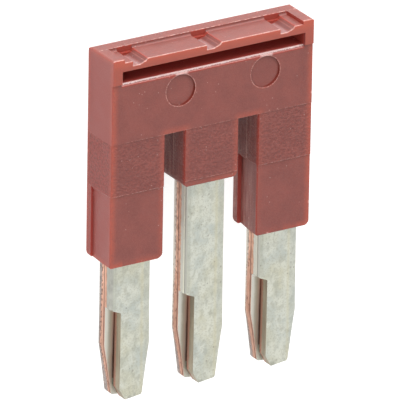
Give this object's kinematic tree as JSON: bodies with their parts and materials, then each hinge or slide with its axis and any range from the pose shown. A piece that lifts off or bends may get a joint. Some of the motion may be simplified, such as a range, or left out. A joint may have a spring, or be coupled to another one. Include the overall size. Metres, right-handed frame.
{
  "type": "plug-in jumper bar for terminal blocks",
  "caption": "Plug-in jumper bar that bridges neighbouring rail terminal blocks: a red moulded head with insulated legs and tin-plated copper prongs.",
  "frame": {"origin": "centre of the footprint, on the back face of the housing that the bar lies on", "axes": "+X along the row of prongs, +Y from the prong tips to the head, +Z out of the front face"},
  "size_m": [0.0142, 0.0228, 0.003],
  "materials": {
    "red_moulding": "moulded brick-red thermoplastic, smooth on the head and spark-eroded matte on the legs",
    "tinned_copper": "matte tin plating over copper, with bare copper showing on the stamped edges"
  },
  "bodies": {
    "root": {"insulating_housing": "red_moulding", "front_contact_comb": "tinned_copper", "rear_contact_comb": "tinned_copper"}
  },
  "joints": []
}
